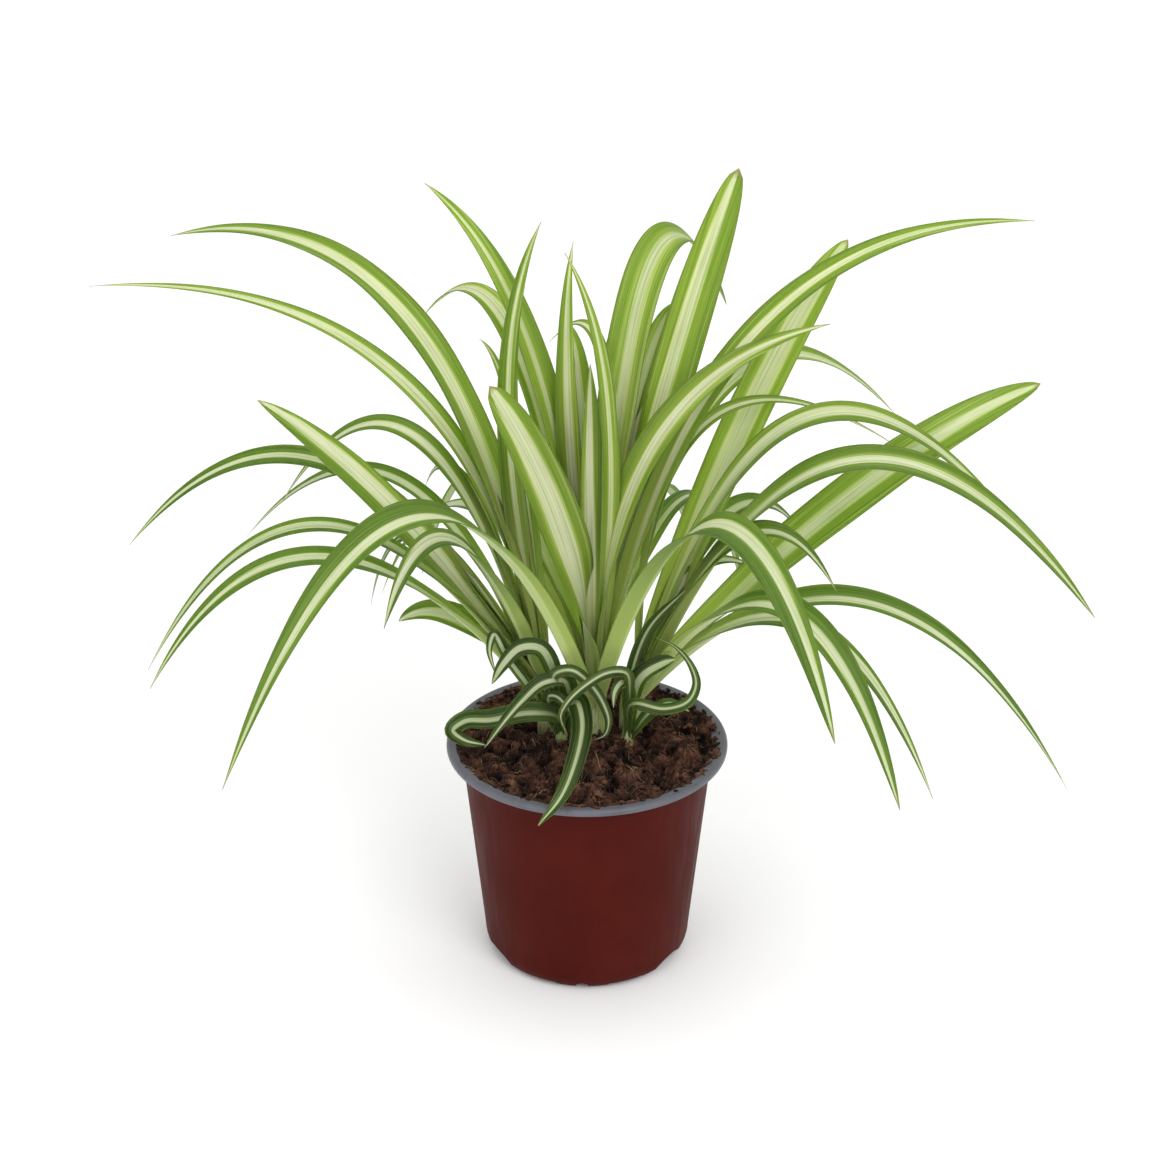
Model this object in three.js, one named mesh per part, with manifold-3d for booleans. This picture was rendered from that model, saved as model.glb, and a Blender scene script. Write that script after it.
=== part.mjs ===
// A potted spider plant: a thin nursery pot filled with soil, and the rosettes that grow in it.
// Millimetres, +Z up. The origin is the middle of the pot's foot, and -Y is the front.
import * as THREE from "three";
import { mergeVertices } from "three/addons/utils/BufferGeometryUtils.js";
import Module from "manifold-3d";

const wasm = await Module();
wasm.setup();

const GAP = 0.3;
const WELD = 1e-3;
const SMALLEST_FACE = 0.05;
const TURN = 2 * Math.PI;
const DEG = Math.PI / 180;

// Pot
const POT_HEIGHT = 100;
const RIM_R = 60;
const RIM_ROUND = 1.2;
const LIP_DROP = 2.8;
const FLARE_IN = 2.2;
const FLARE_DROP = 1.8;
const NECK_R = 53.5;
const NECK_Z = 95.5;
const HEEL_R = 44.5;
const HEEL_Z = 9;
const FOOT_R = 38;
const FOOT_WIDTH = 3;
const FLOOR_RISE = 4;
const WALL = 1.2;
const HEEL_STEPS = 4;
const POT_SIDES = 44;
const ARCHES = 3;
const FIRST_ARCH_DEG = -63;
const ARCH_HALF_WIDTH = 9.5;
const ARCH_HEIGHT = 7;
const ARCH_STEPS = 4;
const STEP_DEG = 27;
const STEP_HALF_WIDTH = 8.5;
const STEP_RISE = 2.5;
const NOTCH_HALF_WIDTH = 2.6;
const NOTCH_RISE = 3.8;

// Soil
const SOIL_TOP = 95.5;
const SOIL_FLOOR = 7;
const SOIL_CORNER = 5;
const SOIL_SIDES = 36;
const SOIL_RINGS = 8;
const SOIL_MOUND = 5;
const SOIL_LEAN = { right: 1.5, back: 2 };
const LUMP_BAND = 12;
const EDGE_LUMPS = 0.35;
const HOLE_SIDES = 16;
// Each hollow in the soil: where it is, how wide and how deep
const HOLLOWS = [
  { x: 28, y: -16, radius: 11, depth: 8 },
  { x: -30, y: -34, radius: 8, depth: 4 },
];
// Each wave of the soil's lumps: its height, its turn along X and Y in radians a millimetre, its start
const LUMPS = [
  [1.4, 0.21, 0.15, 0.9],
  [1.1, 0.09, -0.26, 2.1],
  [0.8, 0.43, 0.37, 0],
  [0.6, 0.33, -0.51, 2.4],
];

// Rosettes: where each one stands, the radius and top of its sheath, and where its leaves part
const SHEATH_BOTTOM = 78;
const SHEATH_SIDES = 12;
const ROSETTES = {
  front: { x: 3, y: 6, sheath: 7.5, top: 128, root: 121 },
  left: { x: -16, y: 14, sheath: 7.5, top: 126, root: 119 },
  right: { x: 19, y: 14, sheath: 7.5, top: 126, root: 119 },
  back: { x: 3, y: 28, sheath: 7.5, top: 128, root: 121 },
  curly_left: { x: -11, y: 0, sheath: 4.5, top: 113, root: 105 },
  curly_right: { x: 17, y: -1, sheath: 4.5, top: 113, root: 105 },
};

// Blade
const BLADE = 0.7;
const INNER_ROOT = 2.2;
const OUTER_ROOT = 5;
const ROOT_STAGGER = 7;
const OUTER_TIP = 150;
const BASE_SPAN = 0.3;
const BASE_WIDTH = 0.75;
const BASE_FOLD = 50;
const MID_FOLD = 16;
const TIP_FOLD = 12;
const TIP_WIDTH = 0.8;
const FINE_POINT = { bluntness: 3, taper: 0.9 };
const BLUNT_POINT = { bluntness: 6, taper: 0.5 };
const TWIST_SPAN = [0.1, 0.6];
const LEAF_STEP = 24;
const LEAF_STEPS = [7, 11];
const CURL_STEP = 11;
const CURL_FACING = new THREE.Vector3(0, -0.8, 0.6);

// Each leaf: rosette, heading in degrees, reach and height of its middle and of its tip, width,
// how long it stays wide (2 is a fine point, 6 a blunt one), sideways bow, twist in degrees
const LEAVES = [
  ["front", 190, 12, 192, 43, 264, 20, 6, 0, -75],
  ["front", 18, 25, 231, 102, 275, 17, 2.5, 0, 40],
  ["front", 24, 70, 270, 204, 301, 15, 2.5, 0, 30],
  ["front", 224, 97, 235, 197, 153, 17, 3, 0, -20],
  ["front", 309, 76, 226, 147, 160, 17, 4, 0, 25],
  ["front", 95, 8, 205, 20, 262, 12, 3, 0, 0],
  ["front", 127, 2, 238, 20, 312, 10, 2, -9, -15],
  ["left", 150, 66, 272, 189, 287, 18, 3, 0, -20],
  ["left", 162, 64, 252, 205, 276, 12, 2, 0, -30],
  ["left", 97, 18, 238, 22, 320, 11, 2.5, 15, 0],
  ["left", 120, 26, 223, 59, 257, 7, 2, 0, -15],
  ["left", 170, 55, 230, 115, 195, 11, 3, 0, -30],
  ["left", 176, 90, 219, 178, 179, 12, 3, 0, -30],
  ["left", 190, 62, 202, 118, 260, 17, 4, 0, -50],
  ["left", 165, 64, 207, 135, 172, 10, 3, 0, -25],
  ["left", 184, 92, 197, 170, 132, 10, 3, 0, -25],
  ["left", 200, 97, 196, 172, 149, 12, 3, 0, -25],
  ["left", 218, 48, 201, 84, 173, 15, 3, 0, -20],
  ["left", 172, 51, 184, 77, 151, 8, 3, 0, -15],
  ["left", 160, 35, 204, 56, 202, 8, 3, 0, -20],
  ["left", 178, 38, 150, 64, 148, 12, 4, 0, -50],
  ["right", 38, 61, 226, 116, 294, 19, 5, 0, 40],
  ["right", 26, 33, 234, 134, 200, 7, 3, 0, 25],
  ["right", 8, 72, 238, 173, 171, 14, 3, 0, 25],
  ["right", 353, 88, 228, 193, 163, 17, 4, 0, 25],
  ["right", 14, 93, 195, 178, 240, 20, 5, 0, 50],
  ["right", 340, 74, 161, 134, 89, 13, 3, 0, 20],
  ["right", 318, 81, 184, 143, 114, 14, 4, 0, 25],
  ["right", 2, 100, 157, 192, 62, 13, 3, 0, 25],
  ["right", 25, 27, 165, 61, 160, 8, 3, 0, 30],
  ["right", 35, 50, 186, 97, 156, 12, 3, 0, 25],
  ["right", 350, 46, 193, 86, 171, 12, 3, 0, 25],
  ["back", 150, 28, 257, 81, 325, 14, 2.5, 0, -35],
  ["back", 142, 15, 236, 11, 312, 15, 1.5, 0, -35],
  ["back", 50, 33, 290, 89, 260, 19, 4, 0, 25],
  ["back", 25, 30, 230, 65, 336, 20, 6, 0, 60],
  ["back", 41, 24, 240, 49, 275, 11, 3, 0, 30],
  ["back", 35, 70, 238, 166, 196, 15, 3, 0, 30],
  ["back", 122, 6.5, 253, 38, 256, 8.5, 3, -9, 0],
  ["back", 135, 47, 258, 105, 252, 14, 3, 0, -15],
  ["back", 78, 50, 245, 92, 205, 14, 3, 0, 0],
  ["back", 98, 46, 225, 95, 160, 13, 3, 0, 0],
  ["back", 88, 38, 190, 82, 115, 12, 3, 0, 0],
  ["back", 64, 56, 180, 112, 120, 12, 3, 0, 0],
  ["back", 132, 66, 188, 117, 121, 12, 3, 0, 0],
  ["back", 105, 18, 222, 45, 262, 13, 4, 0, 0],
  ["back", 50, 64, 178, 110, 103, 11, 3, 0, 0],
  ["back", 148, 62, 180, 112, 125, 11, 3, 0, 0],
];

// Each curled leaf: rosette, width, how long it stays wide and the points that it runs through
const CURLS = [
  ["curly_left", 9.5, 4, [[-9, 0, 105], [-7, -5, 118], [-4, -12, 124], [-2, -25, 121], [-5, -44, 114],
    [-11, -59, 106], [-20, -66, 97]]],
  ["curly_left", 9, 4, [[-12, 0, 104], [-13, -5, 114], [-25, -10, 118.5], [-41, -8, 114],
    [-52, -4, 111], [-57, -7, 108], [-52, -13, 106.5], [-42, -19, 107.5]]],
  ["curly_left", 7.5, 3, [[-10, 0, 106], [-7, -4, 124], [-10, -9, 134], [-19, -12, 134],
    [-28, -16, 127], [-36, -19, 117.5], [-43, -21, 107.5]]],
  ["curly_left", 8, 4, [[-11, 1, 106], [-14, -3, 134], [-20, -6, 147], [-28, -7, 147.5],
    [-35, -7, 140], [-40, -8, 131]]],
  ["curly_left", 5, 3, [[-13, 0, 104], [-22, -1, 122], [-33, -2, 140], [-39, -3, 152], [-41, -5, 146],
    [-38, -6, 133]]],
  ["curly_left", 5.5, 3, [[-12, 0, 106], [-14, -6, 126], [-13, -12, 138], [-6, -15, 141], [2, -14, 133],
    [7, -14, 124], [9, -15, 117], [7.5, -16, 111], [3, -17, 109]]],
  ["curly_left", 5.5, 3, [[-12, -1, 104], [-16.5, -4, 118], [-16, -8, 125.5], [-12, -12, 127],
    [-7, -15, 121.5], [-6, -16, 116]]],
  ["curly_right", 5, 3, [[17, -2, 105], [18, -7, 125], [16, -14, 139.5], [8, -19, 142],
    [-1, -21, 137], [-8, -22, 130], [-11, -22, 123], [-8, -22, 114]]],
  ["curly_right", 8.5, 4, [[18, -1, 105], [19, -3, 124], [23, -5, 134], [32, -7, 141], [37, -8, 143]]],
  ["curly_right", 6, 2, [[18, -1, 105], [17.5, -7, 118], [21, -14, 124.5], [32, -17.5, 124],
    [42, -18.5, 128], [45.5, -18, 136], [43, -17, 145], [37, -15, 152], [28, -9, 154]]],
  ["curly_right", 7, 4, [[18, 0, 105], [19, 2, 128], [26, 4, 150], [41, 2, 170]]],
  ["curly_right", 6, 3, [[17, -2, 103], [17.5, -7, 127.5], [14.5, -11, 133.5], [11.5, -15, 131],
    [11, -18, 125]]],
  ["curly_right", 5.5, 3, [[19, -1, 102], [27, -7, 117], [35, -10, 123], [43, -12, 120]]],
];

/** A closed geometry as a solid that can be cut and joined. */
function solid(geometry) {
  const plain = geometry.index ? geometry.clone() : geometry;
  plain.deleteAttribute("normal");
  plain.deleteAttribute("uv");
  const merged = mergeVertices(plain, WELD);
  const vertProperties = new Float32Array(merged.attributes.position.array);
  const triVerts = new Uint32Array(merged.index.array);
  return new wasm.Manifold(new wasm.Mesh({ numProp: 3, vertProperties, triVerts }));
}

/** A surface from corner coordinates in a row and the corners of each triangle. */
function geometryFrom(positions, index) {
  const geometry = new THREE.BufferGeometry();
  geometry.setAttribute("position", new THREE.BufferAttribute(new Float32Array(positions), 3));
  geometry.setIndex(new THREE.BufferAttribute(new Uint32Array(index), 1));
  return geometry;
}

/** The surface of a solid. */
function geometryOf(manifold) {
  const mesh = manifold.getMesh();
  return geometryFrom(mesh.vertProperties, mesh.triVerts);
}

/** The largest body of a solid, with its hollows filled and loose scraps dropped. */
function oneBody(manifold) {
  const welded = solid(geometryOf(manifold.simplify(SMALLEST_FACE)));
  return welded.decompose().reduce((best, body) => (body.volume() > best.volume() ? body : best));
}

/** Lathe points run up the Y axis of the lathe, which is turned to stand along +Z. */
function lathe(points, sides) {
  const outline = points.map(([r, z]) => new THREE.Vector2(r, z));
  return new THREE.LatheGeometry(outline, sides).rotateX(Math.PI / 2);
}

/** The pot's rounded heel: a quarter round from the edge of the foot up to the wall. */
function heelArc() {
  const points = [];
  for (let i = 0; i <= HEEL_STEPS; i += 1) {
    const angle = ((i / HEEL_STEPS) * TURN) / 4;
    const r = FOOT_R + (HEEL_R - FOOT_R) * Math.sin(angle);
    const z = HEEL_Z * (1 - Math.cos(angle));
    points.push([r, z]);
  }
  return points;
}

/** A block that cuts through the foot from the middle outwards, at an angle from the front. */
function footCutter(angleDeg, outline) {
  const shape = new THREE.Shape(outline.map(([across, up]) => new THREE.Vector2(across, up)));
  const block = new THREE.ExtrudeGeometry(shape, { depth: RIM_R, bevelEnabled: false });
  block.rotateX(Math.PI / 2);
  block.translate(0, -(FOOT_R - FOOT_WIDTH - 1), 0);
  block.rotateZ(angleDeg * DEG);
  return solid(block);
}

/** A round-topped arch outline, as seen from outside the foot. */
function archOutline() {
  const points = [[-ARCH_HALF_WIDTH, -1]];
  for (let i = 0; i <= ARCH_STEPS; i += 1) {
    const angle = (1 - i / ARCH_STEPS) * Math.PI;
    points.push([ARCH_HALF_WIDTH * Math.cos(angle), ARCH_HEIGHT * Math.sqrt(Math.sin(angle))]);
  }
  points.push([ARCH_HALF_WIDTH, -1]);
  return points;
}

/** A low outline with its upper corners cut off, as seen from outside the foot. */
function lowOutline(halfWidth, rise) {
  const shoulder = rise / 2;
  const top = halfWidth - shoulder;
  const left = [[-top, rise], [-halfWidth, shoulder], [-halfWidth, -1]];
  const right = [[halfWidth, -1], [halfWidth, shoulder], [top, rise]];
  return [...left, ...right];
}

/** The half section of the pot, from the middle of its underside round to the middle of its floor. */
function potProfile() {
  const neckInner = NECK_R - WALL;
  const footInner = FOOT_R - FOOT_WIDTH;
  const outside = [
    [0, FLOOR_RISE],
    [footInner - 2, FLOOR_RISE],
    [footInner, 0],
    ...heelArc(),
    [NECK_R, NECK_Z],
    [RIM_R - FLARE_IN, POT_HEIGHT - FLARE_DROP],
    [RIM_R - WALL, POT_HEIGHT - LIP_DROP],
    [RIM_R, POT_HEIGHT - LIP_DROP],
    [RIM_R, POT_HEIGHT - RIM_ROUND],
    [RIM_R - RIM_ROUND, POT_HEIGHT],
  ];
  const inside = [
    [neckInner + 2 * WALL, POT_HEIGHT - WALL / 3],
    [neckInner, NECK_Z + WALL / 2],
    [HEEL_R - WALL, HEEL_Z],
    [HEEL_R - 2 * WALL, HEEL_Z / 2],
    [FOOT_R, FLOOR_RISE + WALL],
    [0, FLOOR_RISE + WALL],
  ];
  return [...outside, ...inside];
}

function makePot() {
  let pot = solid(lathe(potProfile(), POT_SIDES));
  const sector = 360 / ARCHES;
  const step = lowOutline(STEP_HALF_WIDTH, STEP_RISE);
  for (let i = 0; i < ARCHES; i += 1) {
    const archDeg = FIRST_ARCH_DEG + i * sector;
    const middleDeg = archDeg + sector / 2;
    pot = pot.subtract(footCutter(archDeg, archOutline()));
    pot = pot.subtract(footCutter(middleDeg, lowOutline(NOTCH_HALF_WIDTH, NOTCH_RISE)));
    pot = pot.subtract(footCutter(middleDeg - STEP_DEG, step));
    pot = pot.subtract(footCutter(middleDeg + STEP_DEG, step));
  }
  return oneBody(pot);
}

/** The lumpy height of the soil: it rises to the middle, to the right and to the back. */
function soilHeight(x, y, wallR) {
  const r = Math.hypot(x, y);
  const lean = (SOIL_LEAN.right * x + SOIL_LEAN.back * y) / wallR;
  const mound = SOIL_MOUND * (1 - (r / wallR) ** 2);
  const inner = Math.min(1, (wallR - r) / LUMP_BAND);
  const lumpiness = THREE.MathUtils.lerp(EDGE_LUMPS, 1, inner);
  let lumps = 0;
  for (const [height, turnX, turnY, start] of LUMPS) {
    lumps += height * Math.sin(x * turnX + y * turnY + start);
  }
  let hollow = 0;
  for (const { x: middleX, y: middleY, radius, depth } of HOLLOWS) {
    const distance = Math.hypot(x - middleX, y - middleY);
    hollow += depth * Math.exp(-((distance / radius) ** 2));
  }
  return SOIL_TOP + lean + mound + lumpiness * lumps - hollow;
}

/** The largest radius of the soil at a height, a gap inside the pot's wall. */
function soilWall(z) {
  const outer = HEEL_R + ((NECK_R - HEEL_R) * (z - HEEL_Z)) / (NECK_Z - HEEL_Z);
  return outer - WALL - GAP;
}

/** Soil before it is pierced: stacked rings from its floor up the wall and in over the top. */
function soilBlock() {
  const wallR = soilWall(SOIL_TOP - SOIL_CORNER);
  const floorCentre = 0;
  const topCentre = 1;
  const positions = [0, 0, SOIL_FLOOR, 0, 0, soilHeight(0, 0, wallR)];
  const index = [];
  const rings = [];
  const addRing = (radius, heightAt) => {
    rings.push(positions.length / 3);
    for (let i = 0; i < SOIL_SIDES; i += 1) {
      const angle = (i / SOIL_SIDES) * TURN;
      const x = radius * Math.cos(angle);
      const y = radius * Math.sin(angle);
      positions.push(x, y, heightAt(x, y));
    }
  };
  const cornerZ = SOIL_FLOOR + SOIL_CORNER;
  addRing(FOOT_R, () => SOIL_FLOOR);
  addRing(soilWall(cornerZ), () => cornerZ);
  for (let i = SOIL_RINGS; i > 0; i -= 1) {
    addRing((wallR * i) / SOIL_RINGS, (x, y) => soilHeight(x, y, wallR));
  }
  const last = rings.at(-1);
  for (let i = 0; i < SOIL_SIDES; i += 1) {
    const next = (i + 1) % SOIL_SIDES;
    index.push(floorCentre, rings[0] + next, rings[0] + i);
    for (let k = 1; k < rings.length; k += 1) {
      const low = rings[k - 1];
      const high = rings[k];
      index.push(low + i, low + next, high + next, low + i, high + next, high + i);
    }
    index.push(topCentre, last + i, last + next);
  }
  return solid(geometryFrom(positions, index));
}

/** Soil with a plain hole for each rosette's stem. */
function makeSoil() {
  let soil = soilBlock();
  const bottom = SHEATH_BOTTOM - GAP;
  for (const { x, y, sheath, top } of Object.values(ROSETTES)) {
    const radius = sheath + GAP;
    const hole = new THREE.CylinderGeometry(radius, radius, top - bottom, HOLE_SIDES);
    hole.rotateX(Math.PI / 2);
    hole.translate(x, y, (top + bottom) / 2);
    soil = soil.subtract(solid(hole));
  }
  return oneBody(soil);
}

/** The route of a leaf: up from its rosette, through its middle, to its tip. */
function leafRoute([name, heading, midReach, midHeight, tipReach, tipHeight, , , bow]) {
  const { x, y, root } = ROSETTES[name];
  const out = new THREE.Vector3(Math.cos(heading * DEG), Math.sin(heading * DEG), 0);
  const side = new THREE.Vector3(-out.y, out.x, 0);
  const at = (reach, height, aside) =>
    new THREE.Vector3(x, y, height).addScaledVector(out, reach).addScaledVector(side, aside);
  const outer = Math.min(1, tipReach / OUTER_TIP);
  const rootReach = THREE.MathUtils.lerp(INNER_ROOT, OUTER_ROOT, outer);
  const start = at(rootReach, root - ROOT_STAGGER * outer, 0);
  const middle = at(midReach, midHeight, bow);
  const tip = at(tipReach, tipHeight, 0);
  // This control point makes the curve pass through the middle half way along
  const control = start.clone().add(tip).multiplyScalar(-0.5).addScaledVector(middle, 2);
  return { curve: new THREE.QuadraticBezierCurve3(start, control, tip), side };
}

/** How wide a blade is at a share t of its length, for a full width of 1. */
function bladeWidth(t, bluntness) {
  const flare = THREE.MathUtils.lerp(BASE_WIDTH, 1, THREE.MathUtils.smoothstep(t, 0, BASE_SPAN));
  const wide = bluntness - FINE_POINT.bluntness;
  const share = THREE.MathUtils.clamp(wide / (BLUNT_POINT.bluntness - FINE_POINT.bluntness), 0, 1);
  const taper = THREE.MathUtils.lerp(FINE_POINT.taper, BLUNT_POINT.taper, share);
  return flare * (1 - t ** bluntness) ** taper;
}

/** How far each half of a blade is folded up from flat, in degrees. */
function bladeFold(t) {
  const opening = THREE.MathUtils.smoothstep(t, 0, BASE_SPAN);
  return THREE.MathUtils.lerp(BASE_FOLD, THREE.MathUtils.lerp(MID_FOLD, TIP_FOLD, t), opening);
}

/**
 * A channelled blade along a curve: six corners a section, closed at both ends.
 * acrossAt gives the direction across the blade from the direction along it and its share t.
 */
function bladeSolid(curve, acrossAt, width, bluntness, steps) {
  const positions = [];
  const index = [];
  for (let i = 0; i <= steps; i += 1) {
    const t = i / steps;
    const centre = curve.getPoint(t);
    const along = curve.getTangent(t);
    const across = acrossAt(along, t);
    const up = along.clone().cross(across);
    const half = Math.max(TIP_WIDTH, width * bladeWidth(t, bluntness)) / 2;
    const fold = bladeFold(t) * DEG;
    const wing = [half * Math.cos(fold), half * Math.sin(fold)];
    const corners = [
      [-wing[0], wing[1] + BLADE / 2],
      [0, BLADE / 2],
      [wing[0], wing[1] + BLADE / 2],
      [wing[0], wing[1] - BLADE / 2],
      [0, -BLADE / 2],
      [-wing[0], wing[1] - BLADE / 2],
    ];
    for (const [a, u] of corners) {
      const point = centre.clone().addScaledVector(across, a).addScaledVector(up, u);
      positions.push(point.x, point.y, point.z);
    }
  }
  const count = 6;
  for (let i = 0; i < steps; i += 1) {
    for (let k = 0; k < count; k += 1) {
      const a = i * count + k;
      const b = i * count + ((k + 1) % count);
      // The upper and the under face are split along the same line, so the blade keeps its thickness
      if (k < count / 2) {
        index.push(a, b + count, b, a, a + count, b + count);
      } else {
        index.push(a, a + count, b, b, a + count, b + count);
      }
    }
  }
  const end = steps * count;
  index.push(0, 1, 5, 1, 4, 5, 1, 2, 4, 2, 3, 4);
  index.push(end, end + 5, end + 1, end + 1, end + 5, end + 4);
  index.push(end + 1, end + 4, end + 2, end + 2, end + 4, end + 3);
  return solid(geometryFrom(positions, index));
}

/** Keeps a leaf level across as it starts, and turns it by its twist on the way out. */
function levelThenTwisted(side, twist) {
  const carried = side.clone();
  return (along, t) => {
    carried.addScaledVector(along, -carried.dot(along)).normalize();
    const turn = twist * DEG * THREE.MathUtils.smoothstep(t, ...TWIST_SPAN);
    return carried.clone().applyAxisAngle(along, turn);
  };
}

/** Keeps the upper face of a curled leaf towards the front. */
function facingFront(along) {
  return CURL_FACING.clone().cross(along).normalize();
}

/** The clasped leaf bases that make a rosette's short stem. */
function sheathSolid({ x, y, sheath, top }) {
  const outline = [
    [0, SHEATH_BOTTOM],
    [sheath * 0.8, SHEATH_BOTTOM],
    [sheath, SHEATH_BOTTOM + 6],
    [sheath, SOIL_TOP + 4],
    [sheath * 0.85, (SOIL_TOP + top) / 2],
    [sheath * 0.45, top - 3],
    [0, top],
  ];
  return solid(lathe(outline, SHEATH_SIDES).translate(x, y, 0));
}

function makeRosette(name) {
  let rosette = sheathSolid(ROSETTES[name]);
  for (const leaf of LEAVES.filter(([owner]) => owner === name)) {
    const { curve, side } = leafRoute(leaf);
    const [width, bluntness, , twist] = leaf.slice(6);
    const steps = Math.round(THREE.MathUtils.clamp(curve.getLength() / LEAF_STEP, ...LEAF_STEPS));
    const acrossAt = levelThenTwisted(side, twist);
    rosette = rosette.add(bladeSolid(curve, acrossAt, width, bluntness, steps));
  }
  for (const [, width, bluntness, route] of CURLS.filter(([owner]) => owner === name)) {
    const points = route.map((place) => new THREE.Vector3(...place));
    const curve = new THREE.CatmullRomCurve3(points);
    const steps = Math.round(curve.getLength() / CURL_STEP);
    rosette = rosette.add(bladeSolid(curve, facingFront, width, bluntness, steps));
  }
  return oneBody(rosette);
}

const MATERIALS = {
  pot: { color: 0x6e2a22, roughness: 0.5 },
  soil: { color: 0x3b281c, roughness: 0.95 },
  leaf: { color: 0x86a04c, roughness: 0.45 },
  curly_leaf: { color: 0x4a6420, roughness: 0.4 },
};

function addPart(group, name, manifold, look) {
  const material = new THREE.MeshStandardMaterial({ ...MATERIALS[look], metalness: 0 });
  const mesh = new THREE.Mesh(geometryOf(manifold), material);
  mesh.name = name;
  group.add(mesh);
}

const plant = new THREE.Group();
addPart(plant, "pot", makePot(), "pot");
addPart(plant, "soil", makeSoil(), "soil");
for (const name of Object.keys(ROSETTES)) {
  const look = name.startsWith("curly") ? "curly_leaf" : "leaf";
  addPart(plant, `rosette_${name}`, makeRosette(name), look);
}

export default plant;
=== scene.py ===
"""The looks of the potted spider plant: fine leaves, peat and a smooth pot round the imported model."""

import math
import random
from collections import namedtuple

import bmesh
import bpy
from mathutils import Matrix, Vector, noise


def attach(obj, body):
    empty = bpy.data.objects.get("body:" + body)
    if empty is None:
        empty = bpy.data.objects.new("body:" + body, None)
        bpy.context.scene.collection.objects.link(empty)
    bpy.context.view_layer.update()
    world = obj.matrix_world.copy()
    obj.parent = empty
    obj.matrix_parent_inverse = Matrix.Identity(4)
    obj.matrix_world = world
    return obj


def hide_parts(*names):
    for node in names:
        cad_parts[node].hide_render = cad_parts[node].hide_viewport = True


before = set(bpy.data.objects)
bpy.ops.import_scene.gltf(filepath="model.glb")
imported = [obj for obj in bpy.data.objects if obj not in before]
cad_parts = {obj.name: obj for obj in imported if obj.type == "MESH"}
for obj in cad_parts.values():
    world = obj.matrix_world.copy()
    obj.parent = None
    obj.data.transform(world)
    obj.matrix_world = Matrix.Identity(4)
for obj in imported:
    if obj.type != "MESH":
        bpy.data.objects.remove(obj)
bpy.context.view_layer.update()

# Lengths are in millimetres up to the point where a mesh is made
MM = 0.001
UP = Vector((0, 0, 1))

# Seeds of the random draws
LEAF_SEED = 100
CRUMB_SEED = 21
FIBRE_SEED = 8

# Camera and the photograph's framing
ELEVATION_DEG = 27
DISTANCE = 1250
AIM = Vector((-1.3, 0, 174))
LENS_MM = 92.656
SENSOR_MM = 36

# Pot
POT_HEIGHT = 100
RIM_R = 60
LIP_DROP = 2.8
NECK_R = 53.5
NECK_Z = 95.5
HEEL_R = 44.5
HEEL_Z = 9
FOOT_R = 38
FOOT_WIDTH = 3
FLOOR_RISE = 4
WALL = 1.2
LIP_ROUND_R = 0.6
ROLL_R = 1.5
# The inside of the rim's flare: how far out from the wall, and how high
FLARE = [(0, NECK_Z - 0.5), (0.4, POT_HEIGHT - 2.8), (1.3, POT_HEIGHT - 1.4),
         (2.6, POT_HEIGHT - 0.6), (4.5, POT_HEIGHT - 0.1)]
# The outside of the flare, from the top of the wall to under the rim's edge
OUTER_FLARE = [(NECK_R, NECK_Z - 0.6), (NECK_R + 0.2, NECK_Z), (NECK_R + 0.8, NECK_Z + 0.8),
               (RIM_R - 3, POT_HEIGHT - 2.3), (RIM_R - 1.9, POT_HEIGHT - 2.4),
               (RIM_R - 1.3, POT_HEIGHT - LIP_DROP + 0.1)]
POT_SIDES = 192
HEEL_STEPS = 12
WALL_STEPS = 12
INNER_WALL_STEPS = 10
ARCH_STEPS = 12
CORNER_STEPS = 4
CREASE_DEG = 40
ARCHES = 3
FIRST_ARCH_DEG = -63
ARCH_HALF_WIDTH = 9.5
ARCH_HEIGHT = 7
STEP_DEG = 27
STEP_HALF_WIDTH = 8.5
STEP_RISE = 2.5
NOTCH_HALF_WIDTH = 2.6
NOTCH_RISE = 3.8
# How far the blocks that cut the foot reach below it, and inwards past its ring
CUT_MARGIN = 1

# Soil
SOIL_TOP = 95.5
SOIL_FLOOR = 7
SOIL_CORNER = 5
SOIL_MOUND = 5
SOIL_LEAN_RIGHT = 1.5
SOIL_LEAN_BACK = 2
LUMP_BAND = 12
EDGE_LUMPS = 0.35
# The peat is calmer near the wall, over this width, down to this share
EDGE_BAND = 6
EDGE_CALM = 0.3
# How far the peat lies out over the flare of the rim, and by how much that varies
SPREAD = 3.3
SPREAD_CHANGE = 2.2
SOIL_GAP = 0.3
SOIL_SIDES = 340
SOIL_RINGS = 105
EDGE_RINGS = 8
# Each wave of the soil's lumps: its height, its turn along X and Y in radians a millimetre, its start
LUMPS = [
    (1.4, 0.21, 0.15, 0.9),
    (1.1, 0.09, -0.26, 2.1),
    (0.8, 0.43, 0.37, 0),
    (0.6, 0.33, -0.51, 2.4),
]
# Each hollow in the soil: where it is, how wide and how deep
HOLLOWS = [(28, -16, 11, 8), (-30, -34, 8, 4)]
# The peat's own relief: how wide each kind of it is, and how high or deep
CLOD_SIZE = 7
CLOD_HEIGHT = 2.6
HOLE_SIZE = 6.5
HOLE_DEPTH = 12
GRAIN_SIZE = 1.5
GRAIN_HEIGHT = 1.3
MAT_HEIGHT = 1.2
# The relief that takes a spot from middling to its highest or lowest
RELIEF_RANGE = 3.5
# The relief given to the peat's sides down the wall and under the rim, which gives them the dark painted
# shade of the hollows
BURIED_RELIEF = 0.3
CRUMBS = 520
SPILLED = 300
SMALL_CRUMB = 0.5
LARGE_CRUMB = 2.7
SPILLED_CRUMB = 1.3
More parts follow.
